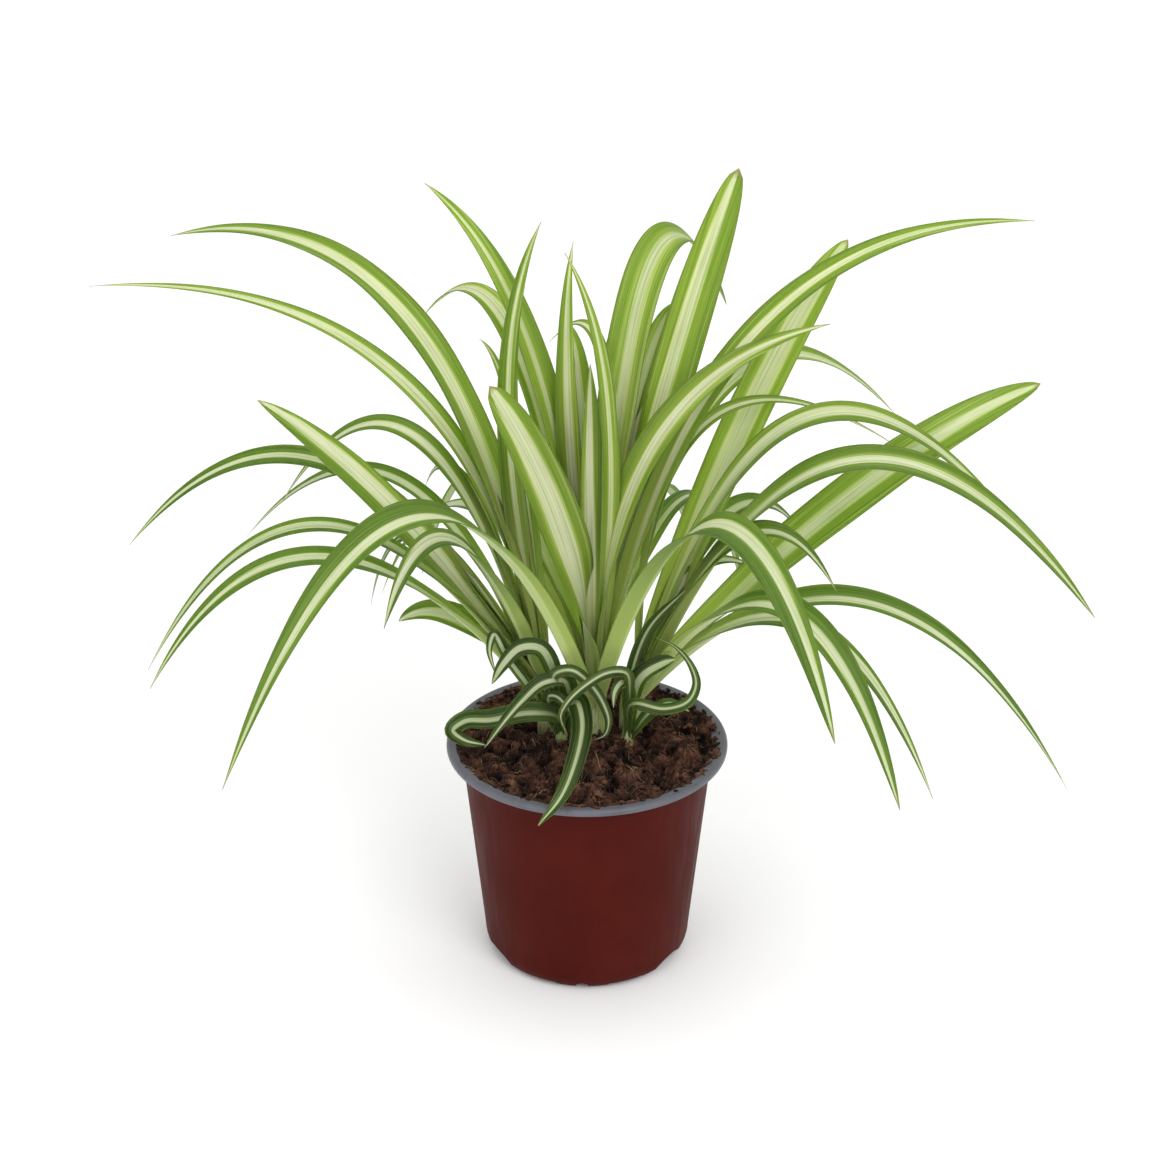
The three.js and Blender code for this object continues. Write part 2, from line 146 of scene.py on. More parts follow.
# How far a crumb is stretched in length, width and height, from the least to the most
CRUMB_STRETCH = [(0.8, 2.2), (0.4, 1.1), (0.3, 0.8)]
CRUMB_MARGIN = 2.5
CRUMB_DENT = 0.9
FIBRES = 1400
FIBRE_MARGIN = 3
SHORT_FIBRE = (2, 6)
LONG_FIBRE = (6, 16)
SHORT_SHARE = 0.7
FIBRE_RADIUS = (0.07, 0.2)
FIBRE_LIFT = (0.3, 2.2)
FIBRE_STEPS = 9
FIBRE_SIDES = 5

# Each rosette: where it stands, the radius and top of its stem, and the height where its leaves part
Crown = namedtuple("Crown", "x y sheath top root")
ROSETTES = {
    "front": Crown(3, 6, 7.5, 128, 121),
    "left": Crown(-16, 14, 7.5, 126, 119),
    "right": Crown(19, 14, 7.5, 126, 119),
    "back": Crown(3, 28, 7.5, 128, 121),
    "curly_left": Crown(-11, 0, 4.5, 113, 105),
    "curly_right": Crown(17, -1, 4.5, 113, 105),
}

# Blade
INNER_ROOT = 2.2
OUTER_ROOT = 5
ROOT_STAGGER = 7
OUTER_TIP = 150
BASE_SPAN = 0.3
BASE_WIDTH = 0.75
FOOT_WIDTH_SHARE = 0.8
BASE_FOLD = 50
FOOT_FOLD = 66
MID_FOLD = 16
TIP_FOLD = 12
TIP_WIDTH = 0.35
# How long a leaf stays wide, and the power by which it narrows, for a fine and for a blunt point
FINE_POINT = (3, 0.9)
BLUNT_POINT = (6, 0.5)
TWIST_SPAN = (0.1, 0.6)
CURL_FACING = Vector((0, -0.8, 0.6))
LEAF_STEP = 3.4
CURL_STEP = 1.4
BLADE_ACROSS = 12
STALK_STEPS = 7
STALK_FOOT_Z = 84
# Half a blade's thickness in its middle and at its edge, and the keel under its middle
MIDDLE_SKIN = 0.26
EDGE_SKIN = 0.12
KEEL_DEPTH = 0.35
KEEL_WIDTH = 0.14
# The width of the rounding at the bottom of a blade's V, as a share of half its width
BLADE_ROUND = 0.18
# A blade's rippled edges: their height as a share of half its width, and their turn a millimetre
RIPPLE = 0.035
RIPPLE_TURN = 0.11
# How many degrees a blade sways to and fro round its route
SWAY_DEG = 5
# The heart of a stem: its sides, its rings, its radius at foot and top as shares, and its ribs
STEM_SIDES = 36
STEM_RINGS = 12
STEM_FOOT_SHARE = 0.8
STEM_TOP_SHARE = 0.18
STEM_TAPER = 2.2
STEM_TOP_DROP = 4
STEM_RIBS = 5
STEM_RIB_DEPTH = 0.08

# Leaf markings
# The pale stripe, in shares of half a blade's width: the range of its place, how far it wanders,
# how much its width varies and how frayed it is
STRIPE_SHIFT = 0.5
STRIPE_WANDER = 0.16
STRIPE_CHANGE = 0.3
STRIPE_FRAY = 0.34
# Streaks, veins and dark lines for each millimetre across, and how fast they change along
STREAKS_ACROSS = 1.1
VEINS_ACROSS = 2.6
LINES_ACROSS = 0.85
STREAKS_ALONG = 0.006
VEINS_ALONG = 0.012
CLOUDS_ALONG = 0.04
# A leaf that hangs lower than the first height is old and dark, one above the second young and bright
OLD_HEIGHT = 170
YOUNG_HEIGHT = 250
# How much darker each rosette's foliage is drawn than its height tells, in the colours of old leaves:
# painted shade, strongest on the left rosette
EXTRA_AGE_AND_SHADE = {"front": 0.1, "left": 0.4, "right": 0, "back": 0.05}

# Stage
FLOOR_HALF = 6000
SKY_STRENGTH = 0.93
# Each lamp: name, place and size in metres, power in watts
LAMPS = [
    ("key", (0.9, -1.7, 1.7), 1.5, 22),
    ("fill", (-1.2, -1.5, 1.0), 1.4, 5),
    ("top", (0.1, 0.7, 2.2), 1.4, 6),
]

# Each leaf of a rosette: heading in degrees, reach and height of its middle and of its tip, width,
# how long it stays wide (2 is a fine point, 6 a blunt one), sideways bow, twist in degrees
LEAVES = {
    "front": [
        [190, 12, 192, 43, 264, 20, 6, 0, -75],
        [18, 25, 231, 102, 275, 17, 2.5, 0, 40],
        [24, 70, 270, 204, 301, 15, 2.5, 0, 30],
        [224, 97, 235, 197, 153, 17, 3, 0, -20],
        [309, 76, 226, 147, 160, 17, 4, 0, 25],
        [95, 8, 205, 20, 262, 12, 3, 0, 0],
        [127, 2, 238, 20, 312, 10, 2, -9, -15],
    ],
    "left": [
        [150, 66, 272, 189, 287, 18, 3, 0, -20],
        [162, 64, 252, 205, 276, 12, 2, 0, -30],
        [97, 18, 238, 22, 320, 11, 2.5, 15, 0],
        [120, 26, 223, 59, 257, 7, 2, 0, -15],
        [170, 55, 230, 115, 195, 11, 3, 0, -30],
        [176, 90, 219, 178, 179, 12, 3, 0, -30],
        [190, 62, 202, 118, 260, 17, 4, 0, -50],
        [165, 64, 207, 135, 172, 10, 3, 0, -25],
        [184, 92, 197, 170, 132, 10, 3, 0, -25],
        [200, 97, 196, 172, 149, 12, 3, 0, -25],
        [218, 48, 201, 84, 173, 15, 3, 0, -20],
        [172, 51, 184, 77, 151, 8, 3, 0, -15],
        [160, 35, 204, 56, 202, 8, 3, 0, -20],
        [178, 38, 150, 64, 148, 12, 4, 0, -50],
    ],
    "right": [
        [38, 61, 226, 116, 294, 19, 5, 0, 40],
        [26, 33, 234, 134, 200, 7, 3, 0, 25],
        [8, 72, 238, 173, 171, 14, 3, 0, 25],
        [353, 88, 228, 193, 163, 17, 4, 0, 25],
        [14, 93, 195, 178, 240, 20, 5, 0, 50],
        [340, 74, 161, 134, 89, 13, 3, 0, 20],
        [318, 81, 184, 143, 114, 14, 4, 0, 25],
        [2, 100, 157, 192, 62, 13, 3, 0, 25],
        [25, 27, 165, 61, 160, 8, 3, 0, 30],
        [35, 50, 186, 97, 156, 12, 3, 0, 25],
        [350, 46, 193, 86, 171, 12, 3, 0, 25],
    ],
    "back": [
        [150, 28, 257, 81, 325, 14, 2.5, 0, -35],
        [142, 15, 236, 11, 312, 15, 1.5, 0, -35],
        [50, 33, 290, 89, 260, 19, 4, 0, 25],
        [25, 30, 230, 65, 336, 20, 6, 0, 60],
        [41, 24, 240, 49, 275, 11, 3, 0, 30],
        [35, 70, 238, 166, 196, 15, 3, 0, 30],
        [122, 6.5, 253, 38, 256, 8.5, 3, -9, 0],
        [135, 47, 258, 105, 252, 14, 3, 0, -15],
        [78, 50, 245, 92, 205, 14, 3, 0, 0],
        [98, 46, 225, 95, 160, 13, 3, 0, 0],
        [88, 38, 190, 82, 115, 12, 3, 0, 0],
        [64, 56, 180, 112, 120, 12, 3, 0, 0],
        [132, 66, 188, 117, 121, 12, 3, 0, 0],
        [105, 18, 222, 45, 262, 13, 4, 0, 0],
        [50, 64, 178, 110, 103, 11, 3, 0, 0],
        [148, 62, 180, 112, 125, 11, 3, 0, 0],
    ],
}

# Each curled leaf of a rosette: width, how long it stays wide and the points that it runs through
CURLS = {
    "curly_left": [
        [9.5, 4, [[-9, 0, 105], [-7, -5, 118], [-4, -12, 124], [-2, -25, 121], [-5, -44, 114],
            [-11, -59, 106], [-20, -66, 97]]],
        [9, 4, [[-12, 0, 104], [-13, -5, 114], [-25, -10, 118.5], [-41, -8, 114], [-52, -4, 111],
            [-57, -7, 108], [-52, -13, 106.5], [-42, -19, 107.5]]],
        [7.5, 3, [[-10, 0, 106], [-7, -4, 124], [-10, -9, 134], [-19, -12, 134], [-28, -16, 127],
            [-36, -19, 117.5], [-43, -21, 107.5]]],
        [8, 4, [[-11, 1, 106], [-14, -3, 134], [-20, -6, 147], [-28, -7, 147.5], [-35, -7, 140],
            [-40, -8, 131]]],
        [5, 3, [[-13, 0, 104], [-22, -1, 122], [-33, -2, 140], [-39, -3, 152], [-41, -5, 146],
            [-38, -6, 133]]],
        [5.5, 3, [[-12, 0, 106], [-14, -6, 126], [-13, -12, 138], [-6, -15, 141], [2, -14, 133],
            [7, -14, 124], [9, -15, 117], [7.5, -16, 111], [3, -17, 109]]],
        [5.5, 3, [[-12, -1, 104], [-16.5, -4, 118], [-16, -8, 125.5], [-12, -12, 127],
            [-7, -15, 121.5], [-6, -16, 116]]],
    ],
    "curly_right": [
        [5, 3, [[17, -2, 105], [18, -7, 125], [16, -14, 139.5], [8, -19, 142], [-1, -21, 137],
            [-8, -22, 130], [-11, -22, 123], [-8, -22, 114]]],
        [8.5, 4, [[18, -1, 105], [19, -3, 124], [23, -5, 134], [32, -7, 141], [37, -8, 143]]],
        [6, 2, [[18, -1, 105], [17.5, -7, 118], [21, -14, 124.5], [32, -17.5, 124],
            [42, -18.5, 128], [45.5, -18, 136], [43, -17, 145], [37, -15, 152], [28, -9, 154]]],
        [7, 4, [[18, 0, 105], [19, 2, 128], [26, 4, 150], [41, 2, 170]]],
        [6, 3, [[17, -2, 103], [17.5, -7, 127.5], [14.5, -11, 133.5], [11.5, -15, 131],
            [11, -18, 125]]],
        [5.5, 3, [[19, -1, 102], [27, -7, 117], [35, -10, 123], [43, -12, 120]]],
    ],
}


def lerp(a, b, share):
    return a + (b - a) * share


def smoothstep(x, low, high):
    share = min(1, max(0, (x - low) / (high - low)))
    return share * share * (3 - 2 * share)


def rgb(red, green, blue):
    """A colour as read off the photograph, from 0 to 255, made linear for a shader."""
    linear = [((c / 255 + 0.055) / 1.055) ** 2.4 if c > 10 else c / 255 / 12.92
              for c in (red, green, blue)]
    return (*linear, 1)


# Materials


class Graph:
    """A material and short calls that add and join its nodes."""

    def __init__(self, name):
        self.material = bpy.data.materials.new(name)
        self.material.use_nodes = True
        self.tree = self.material.node_tree
        self.shader = self.tree.nodes["Principled BSDF"]

    def put(self, socket, value):
        """Joins another node's output to a socket, or gives it a plain value."""
        if isinstance(value, bpy.types.NodeSocket):
            self.tree.links.new(value, socket)
        else:
            socket.default_value = value

    def node(self, kind, inputs=(), **settings):
        node = self.tree.nodes.new(kind)
        for name, value in settings.items():
            setattr(node, name, value)
        for name, value in dict(inputs).items():
            self.put(node.inputs[name], value)
        return node

    def fill(self, kind, values, **settings):
        """The output of a node that takes its values in the order of its sockets."""
        node = self.node(kind, **settings)
        for socket, value in zip(node.inputs, values):
            self.put(socket, value)
        return node.outputs[0]

    def math(self, operation, *values):
        return self.fill("ShaderNodeMath", values, operation=operation)

    def times(self, first, second):
        return self.math("MULTIPLY", first, second)

    def plus(self, first, second):
        return self.math("ADD", first, second)

    def minus(self, first, second):
        return self.math("SUBTRACT", first, second)

    def range(self, value, from_low, from_high, to_low=0.0, to_high=1.0):
        """A smooth step from one range to another."""
        values = (value, from_low, from_high, to_low, to_high)
        return self.fill("ShaderNodeMapRange", values, interpolation_type="SMOOTHSTEP")

    def vector(self, x, y, z):
        return self.fill("ShaderNodeCombineXYZ", (x, y, z))

    def split(self, vector):
        """The three numbers of a vector."""
        return self.node("ShaderNodeSeparateXYZ", {"Vector": vector}).outputs

    def attribute(self, name):
        """The three numbers of a point attribute."""
        source = self.node("ShaderNodeAttribute", attribute_name=name)
        return self.split(source.outputs["Vector"])

    def place(self):
        """Object coordinates, which are the model's own metres."""
        return self.node("ShaderNodeTexCoord").outputs["Object"]

    def noise(self, vector, scale, detail=2.0, roughness=0.5, distortion=0.0):
        inputs = {"Vector": vector, "Scale": scale, "Detail": detail,
                  "Roughness": roughness, "Distortion": distortion}
        return self.node("ShaderNodeTexNoise", inputs).outputs["Fac"]

    def mix(self, factor, first, second, blend="MIX"):
        node = self.node("ShaderNodeMix", data_type="RGBA", blend_type=blend)
        self.put(node.inputs["Factor"], factor)
        self.put(node.inputs[6], first)
        self.put(node.inputs[7], second)
        return node.outputs[2]

    def ramp(self, factor, stops):
        node = self.node("ShaderNodeValToRGB", {"Fac": factor})
        elements = node.color_ramp.elements
        while len(elements) < len(stops):
            elements.new(1)
        for element, (position, colour) in zip(elements, stops):
            element.position = position
            element.color = colour
        return node.outputs["Color"]

    def give(self, name, value):
        """Gives the shader one of its inputs."""
        self.put(self.shader.inputs[name], value)

    def bump(self, height, distance, strength=1.0):
        inputs = {"Height": height, "Distance": distance, "Strength": strength}
        self.give("Normal", self.node("ShaderNodeBump", inputs).outputs["Normal"])

    def surface(self, colour, roughness, specular=0.5):
        self.give("Base Color", colour)
        self.give("Roughness", roughness)
        self.give("Specular IOR Level", specular)


def leaf_material(name, bands, dark_bands, base_colour, gloss, lines):
    """A striped blade: streaked bands across it, fine veins along it, a pale base and a dry tip.

    bands and dark_bands colour a young and an old leaf from the middle of the blade to its edge;
    the dark ones also carry the painted shade given to a rosette, and lines is how strong the dark lines
    are."""
    graph = Graph(name)
    across, along, seed = graph.attribute("blade_place")
    half_width, distance, under = graph.attribute("blade_size")
    age_and_shade = graph.attribute("blade_age_and_shade")[0]
    own = graph.times(seed, 37)
    aside = graph.times(across, half_width)

    def lengthwise(density, change, start=own):
        """A place in noise that is drawn out along the blade, with its own start for each leaf."""
        return graph.vector(graph.times(aside, density), graph.times(distance, change), start)

    band = stripe_band(graph, across, distance, seed, own, lengthwise(STREAKS_ACROSS, STREAKS_ALONG))
    soft = graph.times(graph.math("FRACT", graph.times(own, 2.7)), 0.32)
    young = graph.mix(soft, graph.ramp(band, bands), rgb(134, 156, 62))
    # Toward the old colours as the leaf grows old, and by its rosette's painted shade
    colour = graph.mix(age_and_shade, young, graph.ramp(band, dark_bands))

    vein = graph.noise(lengthwise(VEINS_ACROSS, VEINS_ALONG), 1, 1.5, 0.5)
    colour = graph.mix(graph.range(vein, 0.42, 0.7, 0.0, 0.12), colour, rgb(150, 166, 84))
    colour = graph.mix(graph.range(vein, 0.5, 0.3, 0.0, 0.5), colour, rgb(176, 192, 130), "MULTIPLY")
    line_start = graph.plus(own, 5)
    line = graph.noise(lengthwise(LINES_ACROSS, STREAKS_ALONG, line_start), 1, 2, 0.6)
    dark_line = graph.range(line, 0.55, 0.62, 0.0, lines)
    colour = graph.mix(dark_line, colour, rgb(168, 190, 118), "MULTIPLY")
    fresh = graph.range(age_and_shade, 0.0, 1.0, 1.0, 0.2)
    pale_line = graph.times(graph.range(line, 0.42, 0.36, 0.0, 0.3), fresh)
    colour = graph.mix(pale_line, colour, rgb(190, 200, 132))
    cloud_place = graph.vector(graph.times(across, 2), graph.times(distance, CLOUDS_ALONG), own)
    cloud = graph.noise(cloud_place, 1, 3)
    colour = graph.mix(graph.range(cloud, 0.4, 0.8, 0.0, 0.14), colour, rgb(78, 104, 30))

    at_base = graph.range(along, 0.0, 0.42, 0.7, 0.0)
    colour = graph.mix(at_base, colour, base_colour)
    colour = graph.mix(graph.times(under, 0.3), colour, rgb(140, 156, 96))
    edge = graph.range(graph.math("ABSOLUTE", across), 0.9, 1.0, 0.0, 0.5)
    colour = graph.mix(edge, colour, rgb(74, 94, 30))
    tip = graph.range(along, 0.975, 0.998, 0.0, 0.85)
    colour = graph.mix(tip, colour, rgb(112, 92, 60))
    graph.surface(colour, graph.range(vein, 0.2, 0.8, gloss, gloss + 0.14), 0.2)
    graph.give("Subsurface Weight", 0.35)
    graph.give("Subsurface Radius", (0.002, 0.003, 0.001))
    graph.give("Subsurface Scale", 1.0)
    graph.bump(vein, 0.00018, 0.5)
    return graph.material


def stripe_band(graph, across, distance, seed, own, streak_place):
    """How far out a spot lies across the stripes, which wander, vary in width and fray on each leaf."""
    way = graph.vector(graph.times(distance, VEINS_ALONG), own, 0)
    wander = graph.times(graph.minus(graph.noise(way, 1), 0.5), STRIPE_WANDER)
    aside = graph.minus(graph.math("FRACT", own), 0.5)
    shift = graph.times(aside, STRIPE_SHIFT)
    middle = graph.plus(across, graph.plus(shift, wander))
    width = graph.times(graph.minus(seed, 0.5), STRIPE_CHANGE)
    band = graph.plus(graph.math("ABSOLUTE", middle), width)
    streak = graph.minus(graph.noise(streak_place, 1, 2, 0.6), 0.5)
    return graph.plus(band, graph.times(streak, STRIPE_FRAY))


def bright_leaf_material():
    """The long leaves: cream in the middle, from light green when young to deep green when old and where a
    rosette is given painted shade.
    """
    young = [
        (0.0, rgb(212, 213, 182)),
        (0.31, rgb(207, 210, 170)),
        (0.37, rgb(170, 184, 92)),
        (0.43, rgb(126, 148, 46)),
        (0.72, rgb(112, 135, 41)),
        (1.0, rgb(88, 110, 33)),
    ]
    old = [
        (0.0, rgb(200, 203, 176)),
        (0.32, rgb(189, 194, 160)),
        (0.38, rgb(128, 146, 74)),
        (0.44, rgb(80, 104, 33)),
        (0.72, rgb(70, 93, 29)),
        (1.0, rgb(54, 75, 24)),
    ]
    return leaf_material("bright_leaf", young, old, rgb(186, 204, 112), 0.42, 0.4)


def curly_leaf_material():
    """The curled leaves: a cream stripe between very dark green sides, young and old alike."""
    bands = [
        (0.0, rgb(182, 188, 160)),
        (0.30, rgb(166, 174, 138)),
        (0.36, rgb(84, 100, 46)),
        (0.42, rgb(44, 62, 19)),
        (0.72, rgb(30, 45, 13)),
        (1.0, rgb(20, 32, 9)),
    ]
    return leaf_material("curly_leaf", bands, bands, rgb(72, 90, 40), 0.38, 0.2)


def stem_material():
    """The heart of a stem: pale green with fine upright ribs, brown at the soil."""
    graph = Graph("stem")
    x, y, z = graph.split(graph.place())
    ribs = graph.noise(graph.vector(x, y, graph.times(z, 0.06)), 900, 2)
    soil_line = graph.range(z, 0.092, 0.104, 0.6, 0.0)
    colour = graph.ramp(ribs, [(0.35, rgb(118, 132, 72)), (0.65, rgb(176, 184, 138))])
    colour = graph.mix(soil_line, colour, rgb(118, 92, 62))
    graph.surface(colour, 0.5)
    graph.bump(ribs, 0.0003, 0.6)
    return graph.material


def pot_outside_material():
    """Terracotta-coloured thin plastic: faint mottling, rubbed spots and a little dust low down."""
    graph = Graph("pot_outside")
    place = graph.place()
    x, y, z = graph.split(place)
    cloud = graph.noise(place, 28, 4, 0.6)
    grain = graph.noise(place, 1400, 2)
    drawn = graph.noise(graph.vector(x, y, graph.times(z, 0.12)), 260, 3)
    colour = graph.ramp(cloud, [(0.3, rgb(66, 14, 8)), (0.55, rgb(71, 16, 9)), (0.8, rgb(77, 18, 11))])
    colour = graph.mix(graph.range(drawn, 0.5, 0.8, 0.0, 0.12), colour, rgb(94, 32, 21))
    dust = graph.times(graph.range(z, 0.03, 0.0, 0.0, 0.25), graph.range(cloud, 0.4, 0.7))
    colour = graph.mix(dust, colour, rgb(94, 42, 32))
    graph.surface(colour, graph.range(drawn, 0.3, 0.7, 0.46, 0.58), 0.06)
    height = graph.plus(graph.times(grain, 0.25), drawn)
    graph.bump(height, 0.00008, 0.4)
    return graph.material


def pot_inside_material():
    """The grey inner layer of the same sheet, on the inside and over the rim."""
    graph = Graph("pot_inside")
    place = graph.place()
    cloud = graph.noise(place, 60, 4, 0.6)
    grain = graph.noise(place, 1500, 2)
    colour = graph.ramp(cloud, [(0.3, rgb(82, 84, 90)), (0.6, rgb(96, 97, 105)), (0.8, rgb(108, 110, 119))])
    smudge = graph.range(graph.noise(place, 190, 3, 0.7), 0.58, 0.7, 0.0, 0.4)
    colour = graph.mix(smudge, colour, rgb(66, 52, 45))
    graph.surface(colour, graph.range(cloud, 0.3, 0.7, 0.34, 0.48), 0.35)
    graph.bump(grain, 0.00008, 0.4)
    return graph.material


def peat_material():
    """Dark fibrous peat, with painted light on what stands up and painted shade, almost black, in the
    hollows and in broad patches.
    """
    graph = Graph("peat")
    place = graph.place()
    relief = graph.attribute("relief")[0]
    clump = graph.noise(place, 130, 5, 0.65)
    fine = graph.noise(place, 900, 4, 0.7)
    twist = graph.noise(place, 320, 3, 0.6, 2.5)
    # Painted light and shade: the peat is drawn lighter where it stands up and almost black where it lies
    # low
    height = graph.plus(graph.times(relief, 0.55), graph.times(fine, 0.45))
    colour = graph.ramp(height, [
        (0.22, rgb(9, 5, 4)),
        (0.40, rgb(30, 17, 12)),
        (0.52, rgb(80, 50, 38)),
        (0.72, rgb(140, 98, 76)),
    ])
    colour = graph.mix(graph.range(twist, 0.62, 0.74, 0.0, 0.4), colour, rgb(104, 76, 54))
    colour = graph.mix(graph.range(clump, 0.52, 0.72, 0.0, 0.5), colour, rgb(36, 20, 14))
    # Broad patches of painted shade, almost black
    painted_shade_patch = graph.noise(place, 62, 2, 0.5)
    colour = graph.mix(graph.range(painted_shade_patch, 0.53, 0.65, 0.0, 0.7), colour, rgb(13, 8, 6))
    graph.surface(colour, 0.95, 0.2)
    graph.bump(graph.plus(fine, twist), 0.0012, 1.0)
    return graph.material


def fibre_material():
    """Thin roots and fibres, each from straw to dark brown."""
    graph = Graph("fibre")
    seed = graph.attribute("fibre_seed")[0]
    fine = graph.noise(graph.place(), 700, 3)
    colour = graph.ramp(seed, [
        (0.0, rgb(30, 18, 12)),
        (0.55, rgb(64, 40, 28)),
        (0.85, rgb(112, 78, 56)),
        (1.0, rgb(170, 138, 104)),
    ])
    colour = graph.mix(graph.range(fine, 0.4, 0.7, 0.0, 0.5), colour, rgb(44, 29, 20))
    graph.surface(colour, 0.8)
    graph.bump(fine, 0.0002, 0.5)
    return graph.material


def floor_material():
    """The studio's almost white floor."""
    graph = Graph("floor")
    cloud = graph.noise(graph.place(), 3, 2)
    colour = graph.ramp(cloud, [(0.0, rgb(249, 249, 249)), (1.0, rgb(252, 252, 252))])
    graph.surface(colour, 0.9, 0.1)
    return graph.material


# Pieces


def make_mesh(name, points, faces):
    """A mesh from points in millimetres."""
    mesh = bpy.data.meshes.new(name)
    mesh.from_pydata([Vector(point) * MM for point in points], [], faces)
    mesh.update()
    return mesh


def add_object(name, data):
    """Puts a mesh, camera or lamp into the scene."""
    thing = bpy.data.objects.new(name, data)
    bpy.context.scene.collection.objects.link(thing)
    return thing


def make_piece(name, points, faces, materials, node=None, attributes=None, face_materials=None):
    """A smooth mesh piece from millimetres, riding with the plant."""
    mesh = make_mesh(name, points, faces)
    for material in materials:
        mesh.materials.append(material)
    for label, values in (attributes or {}).items():
        layer = mesh.attributes.new(label, "FLOAT_VECTOR", "POINT")
        layer.data.foreach_set("vector", [number for value in values for number in value])
    if face_materials:
        mesh.polygons.foreach_set("material_index", face_materials)
    mesh.shade_smooth()
    piece = add_object(name, mesh)
    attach(piece, "root")
    if node:
        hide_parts(node)
    return piece


def ring_at(radius, z, sides):
    """The corners of a level ring round the pot's axis."""
    turns = [math.tau * j / sides for j in range(sides)]
    return [(radius * math.cos(turn), radius * math.sin(turn), z) for turn in turns]


def ring_faces(first, sides, rings):
    """The four-sided faces between rings of corners that are numbered one after another."""
    faces = []
    for i in range(rings - 1):
        here = first + i * sides
        for j in range(sides):
            a, b = here + j, here + (j + 1) % sides
            faces.append((a, b, b + sides, a + sides))
    return faces


def closed_faces(first, sides, rings):
    """The faces between such rings, and the two flat ones that close their ends."""
    last = first + (rings - 1) * sides
    ends = [tuple(range(first + sides - 1, first - 1, -1)), tuple(range(last, last + sides))]
    return ring_faces(first, sides, rings) + ends


class Foliage:
    """The blades of one rosette, gathered into one mesh with what their material reads."""

    def __init__(self):
        self.points, self.faces = [], []
        self.places, self.sizes, self.ages_and_shades = [], [], []

    def add_blade(self, spine, shares, across_at, width, bluntness, seed, age_and_shade):
        """A closed channelled blade along spine, with a keel under it and gently rippled edges.

        across_at gives the direction across the blade from the direction along it and its share."""
        first = len(self.points)
        ring = 2 * (BLADE_ACROSS + 1)
        places_across = [2 * j / BLADE_ACROSS - 1 for j in range(BLADE_ACROSS + 1)]
        distance = 0.0
        for i, (centre, share) in enumerate(zip(spine, shares)):
            before = spine[max(0, i - 1)]
            after = spine[min(len(spine) - 1, i + 1)]
            if i:
                distance += (centre - before).length
            along = (after - before).normalized()
            across = across_at(along, share)
            up = along.cross(across)
            half = blade_half_width(share, width, bluntness)
            fold = math.radians(blade_fold(share))
            ripple = RIPPLE * half * smoothstep(share, 0.1, 0.4)
            thin = min(1, half / 2)
            top, bottom = [], []
            for k in places_across:
                side_start = 2.1 if k > 0 else 0
                wave = ripple * k * k * math.sin(RIPPLE_TURN * distance + 9 * seed + side_start)
                rise = half * math.sin(fold) * rounded(k) + wave
                slope = math.atan(math.tan(fold) * rounded_slope(k))
                normal = up * math.cos(slope) - across * math.sin(slope)
                point = centre + across * (half * math.cos(fold) * k) + up * rise
                skin = thin * lerp(MIDDLE_SKIN, EDGE_SKIN, abs(k))
                keel = thin * KEEL_DEPTH * math.exp(-((k / KEEL_WIDTH) ** 2))
                top.append(point + normal * skin)
                bottom.append(point - normal * (skin + keel))
            self.points += top + bottom[::-1]
            self.places += [(k, share, seed) for k in places_across + places_across[::-1]]
            for under in (0.0, 1.0):
                self.sizes += [(half, distance, under)] * (BLADE_ACROSS + 1)
        self.ages_and_shades += [(age_and_shade, 0.0, 0.0)] * (ring * len(spine))
        self.faces += ring_faces(first, ring, len(spine))
        end = first + (len(spine) - 1) * ring
        for j in range(BLADE_ACROSS):
            self.faces.append((first + j + 1, first + j, first + ring - 1 - j, first + ring - 2 - j))
            self.faces.append((end + j, end + j + 1, end + ring - 2 - j, end + ring - 1 - j))

    def make(self, name, node, material):
        attributes = {"blade_place": self.places, "blade_size": self.sizes, "blade_age_and_shade": self.ages_and_shades}
        make_piece(name, self.points, self.faces, [material], node, attributes)


ROUND_SPAN = math.hypot(1, BLADE_ROUND) - BLADE_ROUND


def rounded(k):
    """The V of a blade's section with a rounded bottom: 0 in the middle and 1 at the edge."""
    return (math.hypot(k, BLADE_ROUND) - BLADE_ROUND) / ROUND_SPAN


def rounded_slope(k):
    """How fast that V rises at a place across the blade."""
    return k / math.hypot(k, BLADE_ROUND) / ROUND_SPAN


def blade_half_width(share, width, bluntness):
    """Half a blade's width: narrowed at its base, full in the middle, and running out to its point."""
    if share < 0:
        return width * lerp(BASE_WIDTH, FOOT_WIDTH_SHARE, -share) / 2
    flare = lerp(BASE_WIDTH, 1, smoothstep(share, 0, BASE_SPAN))
    (fine, fine_taper), (blunt, blunt_taper) = FINE_POINT, BLUNT_POINT
    taper = lerp(fine_taper, blunt_taper, min(1, max(0, (bluntness - fine) / (blunt - fine))))
    return max(TIP_WIDTH, width * flare * (1 - share**bluntness) ** taper) / 2


def blade_fold(share):
    """How steeply the two sides of a blade rise from its middle, in degrees."""
    if share < 0:
        return lerp(BASE_FOLD, FOOT_FOLD, -share)
    return lerp(BASE_FOLD, lerp(MID_FOLD, TIP_FOLD, share), smoothstep(share, 0, BASE_SPAN))


def twist_at(share, twist, seed):
    """The turn of a blade round its route, in degrees, with a slight sway of its own."""
    grown = smoothstep(share, *TWIST_SPAN)
    return grown * (twist + SWAY_DEG * math.sin(5 * share + 20 * seed))


def level_then_twisted(side, twist, seed):
    """Keeps a leaf level across as it starts, and turns it by its twist on the way out."""
    carried = side.copy()

    def across_at(along, share):
        nonlocal carried
        carried = (carried - along * carried.dot(along)).normalized()
        return Matrix.Rotation(math.radians(twist_at(share, twist, seed)), 3, along) @ carried

    return across_at


def facing_front(along, share):
    """Keeps the upper face of a curled leaf towards the front."""
    return CURL_FACING.cross(along).normalized()


